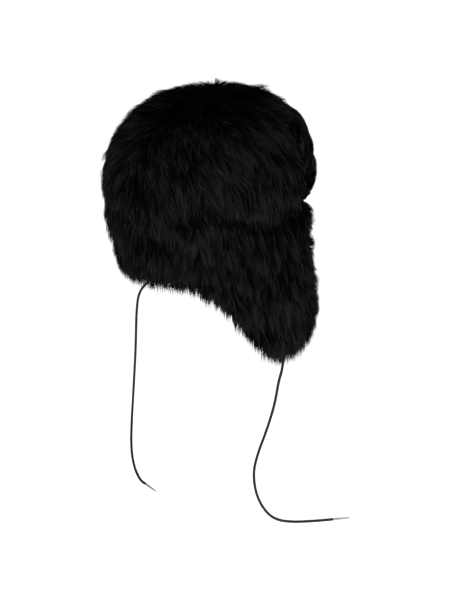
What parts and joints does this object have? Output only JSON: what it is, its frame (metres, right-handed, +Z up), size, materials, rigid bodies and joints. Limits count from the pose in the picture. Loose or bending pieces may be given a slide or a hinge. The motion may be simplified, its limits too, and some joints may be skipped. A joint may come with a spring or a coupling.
{
  "type": "fur cap",
  "caption": "Fur cap with a padded hide crown, a visor turned up over the forehead, a nape curtain with ear flaps, and cord ties with aglets.",
  "frame": {"origin": "centre of the head opening, level with the crown's rim at the forehead, where a head carries the cap", "axes": "+Z up out of the crown, the visor and face side towards -Y, the wearer's left ear flap towards +X"},
  "size_m": [0.3, 0.2301, 0.4556],
  "materials": {
    "hide": "soft black suede, napped inner face of the pelt",
    "fur": "deep black fur in soft overlapping locks with faint sheen",
    "cord": "tightly braided round black cord, slightly waxed",
    "aglet": "smoky grey moulded sleeve"
  },
  "bodies": {
    "root": {"crown_tip": "hide", "crown_band": "hide", "crown_fur": "fur", "curtain": "hide", "curtain_fur": "fur", "visor": "hide", "visor_fur": "fur", "tie_right": "cord", "aglet_right": "aglet", "tie_left": "cord", "aglet_left": "aglet"}
  },
  "joints": []
}
